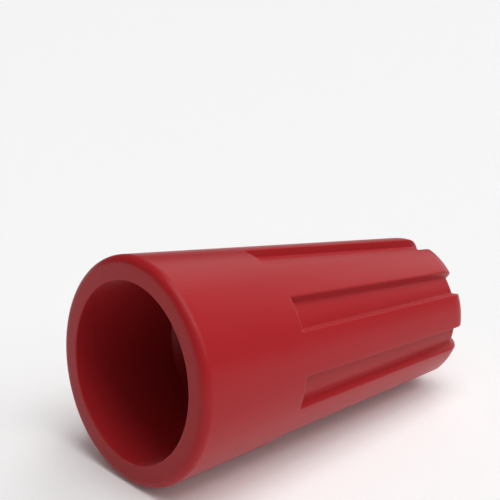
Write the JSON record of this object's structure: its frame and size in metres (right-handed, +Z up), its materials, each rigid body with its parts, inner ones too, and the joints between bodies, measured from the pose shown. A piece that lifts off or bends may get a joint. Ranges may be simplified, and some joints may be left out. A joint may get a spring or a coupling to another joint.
{
  "type": "twist-on wire connector",
  "caption": "Fluted tapered thimble lying on its side, open at one end, with a tapered square-wire spring held inside its blind bore.",
  "frame": {"origin": "middle of the bottom of the bounding box, on the surface that the connector lies on", "axes": "+X runs level from the mouth towards the closed end, +Z is up; the connector's own axis dips 4.4 degrees towards the closed end, because the cone lies on its side"},
  "size_m": [0.0302, 0.0158, 0.0158],
  "materials": {
    "red_plastic": "semi-matte moulded",
    "zinc_plated_steel": "zinc plated"
  },
  "bodies": {
    "root": {"shell": "red_plastic", "spring": "zinc_plated_steel"}
  },
  "joints": []
}
